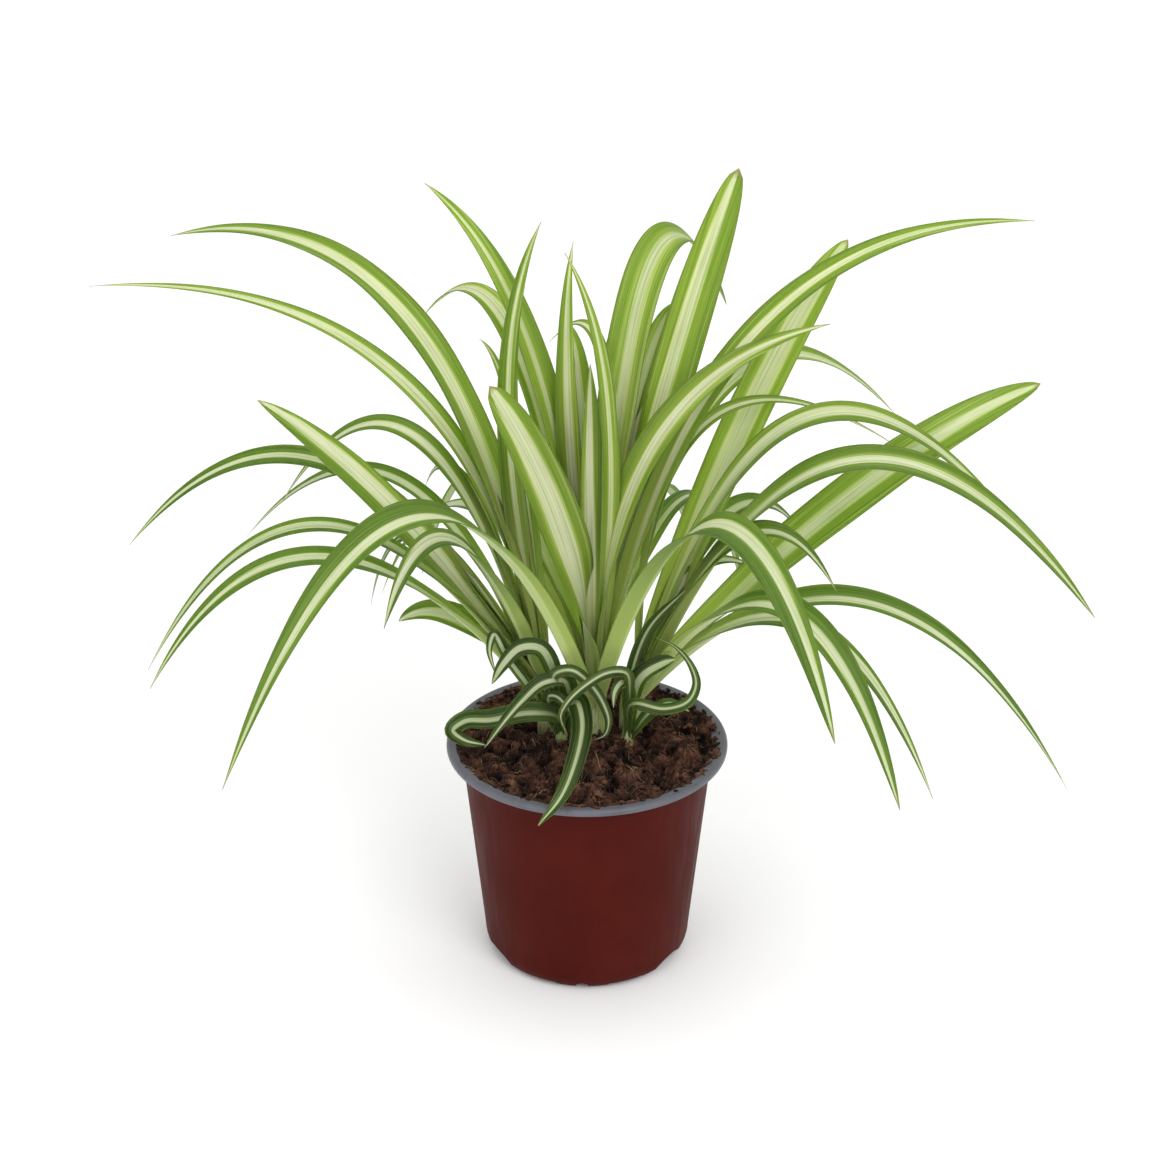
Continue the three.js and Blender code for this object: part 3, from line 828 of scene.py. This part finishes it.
def leaf_spine(crown, leaf):
    """The route of a leaf from below the soil, up its stem, through its middle, to its tip.

    Its shares run from -1 at the foot, through 0 where the leaf parts, to 1 at the tip."""
    heading, mid_reach, mid_height, tip_reach, tip_height, _, _, bow, _ = leaf
    turn = math.radians(heading)
    out = Vector((math.cos(turn), math.sin(turn), 0))
    side = Vector((-out.y, out.x, 0))

    def at(reach, height, aside=0.0):
        return Vector((crown.x, crown.y, height)) + out * reach + side * aside

    outer = min(1, tip_reach / OUTER_TIP)
    root_reach = lerp(INNER_ROOT, OUTER_ROOT, outer)
    root = at(root_reach, crown.root - ROOT_STAGGER * outer)
    middle = at(mid_reach, mid_height, bow)
    tip = at(tip_reach, tip_height)
    control = middle * 2 - (root + tip) / 2
    foot = at(root_reach, STALK_FOOT_Z)
    leaving = (control - root).normalized()
    climb = (root - foot).length
    spine, shares = [], []
    for i in range(STALK_STEPS):
        t = i / STALK_STEPS
        spine.append(hermite(foot, root, UP * climb, leaving * climb, t))
        shares.append(t - 1)
    chord = (control - root).length + (tip - control).length
    steps = round(chord / LEAF_STEP)
    for i in range(steps + 1):
        t = i / steps
        spine.append(root * (1 - t) ** 2 + control * (2 * t * (1 - t)) + tip * t * t)
        shares.append(t)
    return spine, shares, side


def hermite(start, end, leaving, arriving, t):
    """A point of the cubic that leaves start and arrives at end at the given speeds."""
    return (
        start * (2 * t**3 - 3 * t**2 + 1)
        + leaving * (t**3 - 2 * t**2 + t)
        + end * (3 * t**2 - 2 * t**3)
        + arriving * (t**3 - t**2)
    )


def smooth_route(places, step):
    """A smooth curve through places, with points about a step apart and their shares."""
    knots = [Vector(place) for place in places]
    knots = [knots[0] * 2 - knots[1]] + knots + [knots[-1] * 2 - knots[-2]]
    count = len(places) - 1
    spine, shares = [], []
    for i in range(count):
        before, start, end, after = knots[i : i + 4]
        gaps = [math.sqrt((b - a).length) for a, b in ((before, start), (start, end), (end, after))]
        leaving = (start - before) / gaps[0] - (end - before) / (gaps[0] + gaps[1])
        leaving = (leaving + (end - start) / gaps[1]) * gaps[1]
        arriving = (end - start) / gaps[1] - (after - start) / (gaps[1] + gaps[2])
        arriving = (arriving + (after - end) / gaps[2]) * gaps[1]
        steps = max(3, round((end - start).length / step))
        for j in range(steps):
            spine.append(hermite(start, end, leaving, arriving, j / steps))
            shares.append((i + j / steps) / count)
    spine.append(knots[-2])
    shares.append(1.0)
    return spine, shares


def make_rosette(name, number, leaf_look, stem_look):
    """All blades of a rosette in one piece, and its stem in another."""
    foliage = Foliage()
    draw = random.Random(LEAF_SEED + number)
    for leaf in LEAVES.get(name, []):
        _, _, mid_height, _, tip_height, width, bluntness, _, twist = leaf
        spine, shares, side = leaf_spine(ROSETTES[name], leaf)
        seed = draw.random()
        young = smoothstep((mid_height + tip_height) / 2, OLD_HEIGHT, YOUNG_HEIGHT)
        # Low leaves are old and dark, and each rosette adds painted shade in the same dark colours
        age_and_shade = min(1, 1 - young + EXTRA_AGE_AND_SHADE[name])
        across_at = level_then_twisted(side, twist, seed)
        foliage.add_blade(spine, shares, across_at, width, bluntness, seed, age_and_shade)
    for width, bluntness, places in CURLS.get(name, []):
        spine, shares = smooth_route(places, CURL_STEP)
        foliage.add_blade(spine, shares, facing_front, width, bluntness, draw.random(), 1.0)
    foliage.make(f"leaves_{name}", f"rosette_{name}", leaf_look)
    make_stem(name, stem_look)


def make_stem(name, look):
    """The heart of a rosette's stem: a tapered, ribbed form inside the clasped leaf bases."""
    crown = ROSETTES[name]
    points = []
    for i in range(STEM_RINGS + 1):
        share = i / STEM_RINGS
        z = lerp(STALK_FOOT_Z, crown.top - STEM_TOP_DROP, share)
        radius = crown.sheath * lerp(STEM_FOOT_SHARE, STEM_TOP_SHARE, share**STEM_TAPER)
        for j in range(STEM_SIDES):
            angle = math.tau * j / STEM_SIDES
            rib = 1 + STEM_RIB_DEPTH * math.cos(STEM_RIBS * angle + 2 * share)
            reach = radius * rib
            points.append((crown.x + reach * math.cos(angle), crown.y + reach * math.sin(angle), z))
    faces = closed_faces(0, STEM_SIDES, STEM_RINGS + 1)
    make_piece(f"stem_{name}", points, faces, [look])


def soil_wall(z):
    """The largest radius of the soil at a height, a gap inside the pot's wall."""
    return lerp(HEEL_R, NECK_R, (z - HEEL_Z) / (NECK_Z - HEEL_Z)) - WALL - SOIL_GAP


SOIL_R = soil_wall(SOIL_TOP - SOIL_CORNER)


def soil_height(x, y):
    """The same lumpy height as the solid soil has."""
    r = math.hypot(x, y)
    lean = (SOIL_LEAN_RIGHT * x + SOIL_LEAN_BACK * y) / SOIL_R
    mound = SOIL_MOUND * (1 - (r / SOIL_R) ** 2)
    lumpiness = lerp(EDGE_LUMPS, 1, min(1, (SOIL_R - r) / LUMP_BAND))
    lumps = sum(h * math.sin(x * tx + y * ty + start) for h, tx, ty, start in LUMPS)
    hollow = sum(depth * math.exp(-((math.hypot(x - hx, y - hy) / radius) ** 2))
                 for hx, hy, radius, depth in HOLLOWS)
    return SOIL_TOP + lean + mound + lumpiness * lumps - hollow


def flare_height(radius):
    """The height of the inside of the rim's flare at a radius."""
    out = radius - NECK_R + WALL
    for (near, low), (far, high) in zip(FLARE, FLARE[1:]):
        if out <= far:
            return lerp(low, high, max(0, (out - near) / (far - near)))
    return FLARE[-1][1]


def peat_relief(x, y):
    """Clods, holes and fibres on top of the soil's height, and how high a spot stands, from 0 to 1."""
    spot = Vector((x, y, 0))
    clods = noise.fractal(spot / CLOD_SIZE + Vector((3, 7, 1)), 0.8, 2.1, 4)
    holes = max(0, noise.noise(spot / HOLE_SIZE + Vector((11, 2, 5))) - 0.12)
    grains = noise.fractal(spot / GRAIN_SIZE, 0.7, 2.0, 3)
    matted = abs(noise.noise(Vector((x / 3 + y / 8, y / 0.9 - x / 4, 2))))
    height = CLOD_HEIGHT * clods + GRAIN_HEIGHT * grains - HOLE_DEPTH * holes + MAT_HEIGHT * matted
    calm = lerp(EDGE_CALM, 1, min(1, max(0, (SOIL_R - math.hypot(x, y)) / EDGE_BAND)))
    return calm * height, min(1, max(0, 0.5 + height / (2 * RELIEF_RANGE)))


def make_soil(peat, fibre):
    """The peat: down the wall to the floor, out over the rim's flare, and in over its lumpy top."""
    corner_z = SOIL_FLOOR + SOIL_CORNER
    points = ring_at(FOOT_R, SOIL_FLOOR, SOIL_SIDES)
    points += ring_at(soil_wall(corner_z), corner_z, SOIL_SIDES)
    points += ring_at(SOIL_R, NECK_Z, SOIL_SIDES)
    for j in range(SOIL_SIDES):
        x, y = edge_spot(j, 1)
        points.append((x, y, flare_height(math.hypot(x, y)) - 0.7))
    relief = [(BURIED_RELIEF, 0, 0)] * len(points)
    for i in range(EDGE_RINGS, -SOIL_RINGS, -1):
        for j in range(SOIL_SIDES):
            x, y = edge_spot(j, i / EDGE_RINGS) if i > 0 else soil_spot(j, 1 + i / SOIL_RINGS)
            points.append((x, y, surface_height(x, y)))
            relief.append((peat_relief(x, y)[1], 0, 0))
    rings = len(points) // SOIL_SIDES
    faces = closed_faces(0, SOIL_SIDES, rings)
    make_piece("soil_bed", points, faces, [peat], "soil", {"relief": relief})
    make_crumbs(peat)
    make_fibres(fibre)


def soil_spot(number, share):
    """A corner of the soil's mesh, at a share of the way from the middle to the wall."""
    angle = math.tau * number / SOIL_SIDES
    return SOIL_R * share * math.cos(angle), SOIL_R * share * math.sin(angle)


def edge_spot(number, share):
    """A corner of the peat that lies on the rim's flare, at a share of the way out over it."""
    x, y = soil_spot(number, 1)
    spread = SPREAD + SPREAD_CHANGE * noise.noise(Vector((x / 9, y / 9, 4)))
    out = 1 + spread * share / SOIL_R
    return x * out, y * out


def on_soil(draw, margin):
    """A random spot on the soil, at least a margin from the wall."""
    radius = (SOIL_R - margin) * math.sqrt(draw.random())
    angle = draw.uniform(0, math.tau)
    return radius * math.cos(angle), radius * math.sin(angle)


def on_flare(draw):
    """A random spot on the edge of the peat or beside it on the rim, mostly at the back and sides."""
    angle = draw.gauss(math.pi / 2, 1.6)
    radius = min(RIM_R - 2.5, SOIL_R + draw.gauss(SPREAD, 1))
    return radius * math.cos(angle), radius * math.sin(angle), flare_height(radius)


def surface_height(x, y):
    """The height of the peat: lumpy in the pot, and lying on the flare at its edge."""
    radius = math.hypot(x, y)
    on_rim = max(flare_height(radius), NECK_Z + 1) + 0.4
    ground = lerp(soil_height(x, y), on_rim, smoothstep(radius, SOIL_R - EDGE_BAND, SOIL_R + 1))
    return ground + peat_relief(x, y)[0]


def make_crumbs(look):
    """Loose crumbs and small clods on the soil, each a dented round pressed half into it."""
    draw = random.Random(CRUMB_SEED)
    ball = bmesh.new()
    bmesh.ops.create_icosphere(ball, subdivisions=2, radius=1)
    corners = [v.co.copy() for v in ball.verts]
    sides = [tuple(v.index for v in f.verts) for f in ball.faces]
    ball.free()
    points, faces, relief = [], [], []
    for number in range(CRUMBS + SPILLED):
        size = lerp(SMALL_CRUMB, LARGE_CRUMB, draw.random() ** 3)
        x, y = on_soil(draw, CRUMB_MARGIN)
        under = surface_height(x, y)
        if number >= CRUMBS:
            size = draw.uniform(SMALL_CRUMB, SPILLED_CRUMB)
            x, y, under = on_flare(draw)
        centre = Vector((x, y, under + 0.25 * size))
        turn = Matrix.Rotation(draw.uniform(0, math.tau), 3, UP)
        stretch = Vector([draw.uniform(least, most) for least, most in CRUMB_STRETCH])
        tone = draw.uniform(0.15, 0.75)
        first = len(points)
        offset = Vector((draw.uniform(0, 99), 0, 0))
        for corner in corners:
            dent = 1 + CRUMB_DENT * noise.noise(corner * 1.9 + offset)
            shaped = Vector([c * s for c, s in zip(corner, stretch)])
            points.append(centre + turn @ shaped * (size * dent))
            # Each crumb's own random tone, with painted light on its top and painted shade underneath
            relief.append((tone + 0.15 * corner.z, 0, 0))
        faces += [tuple(first + index for index in side) for side in sides]
    make_piece("soil_crumbs", points, faces, [look], None, {"relief": relief})


def make_fibres(look):
    """Fine roots and peat fibres that lie on the soil and bend up here and there."""
    draw = random.Random(FIBRE_SEED)
    points, faces, seeds = [], [], []
    for _ in range(FIBRES):
        x, y = on_soil(draw, FIBRE_MARGIN)
        heading = draw.uniform(0, math.tau)
        length = draw.uniform(*(SHORT_FIBRE if draw.random() < SHORT_SHARE else LONG_FIBRE))
        radius = draw.uniform(*FIBRE_RADIUS)
        bend = draw.uniform(-0.15, 0.15)
        lift = draw.uniform(*FIBRE_LIFT) if draw.random() < 0.5 else 0.2
        seed = draw.random()
        route = []
        for i in range(FIBRE_STEPS + 1):
            share = i / FIBRE_STEPS
            height = surface_height(x, y) + 0.15 + lift * math.sin(math.pi * share)
            route.append(Vector((x, y, height)))
            heading += bend * 0.5 + draw.uniform(-0.16, 0.16)
            x += math.cos(heading) * length / FIBRE_STEPS
            y += math.sin(heading) * length / FIBRE_STEPS
            if math.hypot(x, y) > SOIL_R - 1.5:
                heading += 1.2
                x *= 0.97
                y *= 0.97
        faces += closed_faces(len(points), FIBRE_SIDES, len(route))
        points += tube_points(route, radius, FIBRE_SIDES)
        seeds += [(seed, 0, 0)] * (FIBRE_SIDES * len(route))
    make_piece("soil_fibres", points, faces, [look], None, {"fibre_seed": seeds})


def tube_points(route, radius, sides):
    """The rings of corners of a thin tube along a route, narrowing to both ends."""
    points = []
    across = Vector((0.3, 0.8, 0.5))
    for i, centre in enumerate(route):
        along = (route[min(i + 1, len(route) - 1)] - route[max(i - 1, 0)]).normalized()
        across = (across - along * across.dot(along)).normalized()
        other = along.cross(across)
        thin = radius * (0.35 + 0.65 * math.sin(math.pi * (i + 0.5) / len(route)))
        for j in range(sides):
            angle = math.tau * j / sides
            points.append(centre + (across * math.cos(angle) + other * math.sin(angle)) * thin)
    return points


def arc(centre, radius, from_deg, to_deg, steps):
    """Points of a round in the half section of the pot."""
    points = []
    for i in range(steps + 1):
        angle = math.radians(lerp(from_deg, to_deg, i / steps))
        points.append((centre[0] + radius * math.cos(angle), centre[1] + radius * math.sin(angle)))
    return points


def pot_outside():
    """The half section of the pot's outer skin, from the middle of its underside to its lip."""
    foot_inner = FOOT_R - FOOT_WIDTH
    heel = []
    for i in range(HEEL_STEPS + 1):
        angle = i / HEEL_STEPS * math.pi / 2
        heel.append((FOOT_R + (HEEL_R - FOOT_R) * math.sin(angle), HEEL_Z * (1 - math.cos(angle))))
    wall = [(lerp(HEEL_R, NECK_R, i / WALL_STEPS), lerp(HEEL_Z, NECK_Z, i / WALL_STEPS))
            for i in range(1, WALL_STEPS)]
    return [(0, FLOOR_RISE), (foot_inner - 3, FLOOR_RISE), (foot_inner - 2, FLOOR_RISE - 0.3),
            (foot_inner - 0.3, 0.3), (foot_inner + 0.1, 0)] + heel + wall + OUTER_FLARE


def pot_inside():
    """The half section of the grey skin, from the lip over the rim and down to the floor."""
    neck_inner = NECK_R - WALL
    lip = arc((RIM_R - LIP_ROUND_R, POT_HEIGHT - LIP_DROP + LIP_ROUND_R), LIP_ROUND_R, 240, 360, 5)
    roll = arc((RIM_R - ROLL_R, POT_HEIGHT - ROLL_R), ROLL_R, 0, 90, 7)
    flare = [(neck_inner + out, z) for out, z in reversed(FLARE)]
    down = [i / INNER_WALL_STEPS for i in range(1, INNER_WALL_STEPS + 1)]
    wall = [(lerp(neck_inner, HEEL_R - WALL, share), lerp(NECK_Z, HEEL_Z, share)) for share in down]
    floor = [(HEEL_R - 2 * WALL, HEEL_Z / 2 + 0.6), (FOOT_R, FLOOR_RISE + WALL), (0, FLOOR_RISE + WALL)]
    return lip + roll + flare + wall + floor


def make_pot(outside_look, inside_look):
    """The pot, turned from its half section, in two looks, with the openings of its foot cut out."""
    outside, inside = pot_outside(), pot_inside()
    profile = outside + inside
    points, faces, looks = [(0, 0, FLOOR_RISE), (0, 0, FLOOR_RISE + WALL)], [], []
    ring = profile[1:-1]
    for radius, z in ring:
        points += ring_at(radius, z, POT_SIDES)
    for j in range(POT_SIDES):
        n = (j + 1) % POT_SIDES
        last = 2 + (len(ring) - 1) * POT_SIDES
        faces.append((0, 2 + n, 2 + j))
        looks.append(0)
        for i in range(len(ring) - 1):
            low = 2 + i * POT_SIDES
            faces.append((low + j, low + n, low + POT_SIDES + n, low + POT_SIDES + j))
            looks.append(0 if i < len(outside) - 2 else 1)
        faces.append((last + j, last + n, 1))
        looks.append(1)
    pot = make_piece("pot_shell", points, faces, [outside_look, inside_look], "pot", None, looks)
    cut_foot(pot)
    pot.data.shade_smooth()
    pot.data.set_sharp_from_angle(angle=math.radians(CREASE_DEG))


def cut_foot(pot):
    """Cuts every opening of the foot out of the pot."""
    cutters = foot_cutters()
    for cutter in cutters:
        cut = pot.modifiers.new(cutter.name, "BOOLEAN")
        cut.operation = "DIFFERENCE"
        cut.solver = "EXACT"
        cut.object = cutter
    depsgraph = bpy.context.evaluated_depsgraph_get()
    mesh = bpy.data.meshes.new_from_object(pot.evaluated_get(depsgraph))
    pot.modifiers.clear()
    pot.data = mesh
    for cutter in cutters:
        bpy.data.objects.remove(cutter)


def foot_cutters():
    """The blocks that cut the drainage arches, notches and shallow steps through the foot ring."""
    sector = 360 / ARCHES
    arch = [(-ARCH_HALF_WIDTH, -CUT_MARGIN)]
    for i in range(ARCH_STEPS + 1):
        angle = math.pi * (1 - i / ARCH_STEPS)
        arch.append((ARCH_HALF_WIDTH * math.cos(angle), ARCH_HEIGHT * math.sqrt(max(0, math.sin(angle)))))
    arch.append((ARCH_HALF_WIDTH, -CUT_MARGIN))
    notch = low_outline(NOTCH_HALF_WIDTH, NOTCH_RISE)
    step = low_outline(STEP_HALF_WIDTH, STEP_RISE)
    cutters = []
    for i in range(ARCHES):
        arch_deg = FIRST_ARCH_DEG + i * sector
        middle_deg = arch_deg + sector / 2
        cuts = [(arch_deg, arch), (middle_deg, notch),
                (middle_deg - STEP_DEG, step), (middle_deg + STEP_DEG, step)]
        cutters += [foot_cutter(angle_deg, outline) for angle_deg, outline in cuts]
    return cutters


def low_outline(half_width, rise):
    """A low outline with rounded upper corners, as seen from outside the foot."""
    reach = half_width - rise / 2
    left, right = [(-half_width, -CUT_MARGIN)], [(half_width, -CUT_MARGIN)]
    for i in range(CORNER_STEPS + 1):
        angle = math.pi / 2 * i / CORNER_STEPS
        across = reach + rise / 2 * math.cos(angle)
        up = rise / 2 * (1 + math.sin(angle))
        left.append((-across, up))
        right.append((across, up))
    return left + right[::-1]


def foot_cutter(angle_deg, outline):
    """A block with an outline that runs outwards through the foot ring, at an angle from the front."""
    turn = Matrix.Rotation(math.radians(angle_deg), 3, "Z")
    points = []
    for depth in (FOOT_R - FOOT_WIDTH - CUT_MARGIN, RIM_R):
        points += [turn @ Vector((x, -depth, z)) for x, z in outline]
    count = len(outline)
    faces = [tuple(range(count)), tuple(count + j for j in range(count - 1, -1, -1))]
    for j in range(count):
        n = (j + 1) % count
        faces.append((n, j, count + j, count + n))
    return add_object("foot_cutter", make_mesh("foot_cutter", points, faces))


def turn_towards(thing, direction):
    """Turns a camera or lamp, which look down their own Z, to look in a direction."""
    thing.rotation_mode = "QUATERNION"
    thing.rotation_quaternion = direction.to_track_quat("-Z", "Y")


def make_camera():
    """The photograph's camera."""
    turn = math.radians(ELEVATION_DEG)
    back = Vector((0, -math.cos(turn), math.sin(turn)))
    data = bpy.data.cameras.new("camera")
    data.sensor_width = SENSOR_MM
    data.lens = LENS_MM
    camera = add_object("camera", data)
    camera.location = (AIM + back * DISTANCE) * MM
    turn_towards(camera, -back)
    bpy.context.scene.camera = camera


def make_light(name, place, size, power):
    """A round soft lamp that looks at the plant's middle."""
    data = bpy.data.lights.new(name, "AREA")
    data.shape = "DISK"
    data.size = size
    data.energy = power
    light = add_object(name, data)
    light.location = place
    turn_towards(light, AIM * MM - place)


def make_stage():
    """A wide pale floor, a white sky and three soft lamps."""
    corners = [Vector((x, y, 0)) * FLOOR_HALF for x, y in ((-1, -1), (1, -1), (1, 1), (-1, 1))]
    mesh = make_mesh("floor", corners, [(0, 1, 2, 3)])
    mesh.materials.append(floor_material())
    floor = add_object("floor", mesh)
    world = bpy.data.worlds.new("studio")
    world.use_nodes = True
    sky = world.node_tree.nodes["Background"].inputs
    sky["Color"].default_value = (1, 1, 1, 1)
    sky["Strength"].default_value = SKY_STRENGTH
    bpy.context.scene.world = world
    for name, place, size, power in LAMPS:
        make_light(name, Vector(place), size, power)


bpy.context.scene.view_settings.view_transform = "Standard"
make_camera()
make_stage()
make_pot(pot_outside_material(), pot_inside_material())
make_soil(peat_material(), fibre_material())
bright_look = bright_leaf_material()
curly_look = curly_leaf_material()
stem_look = stem_material()
for number, rosette in enumerate(ROSETTES):
    leaf_look = curly_look if rosette in CURLS else bright_look
    make_rosette(rosette, number, leaf_look, stem_look)
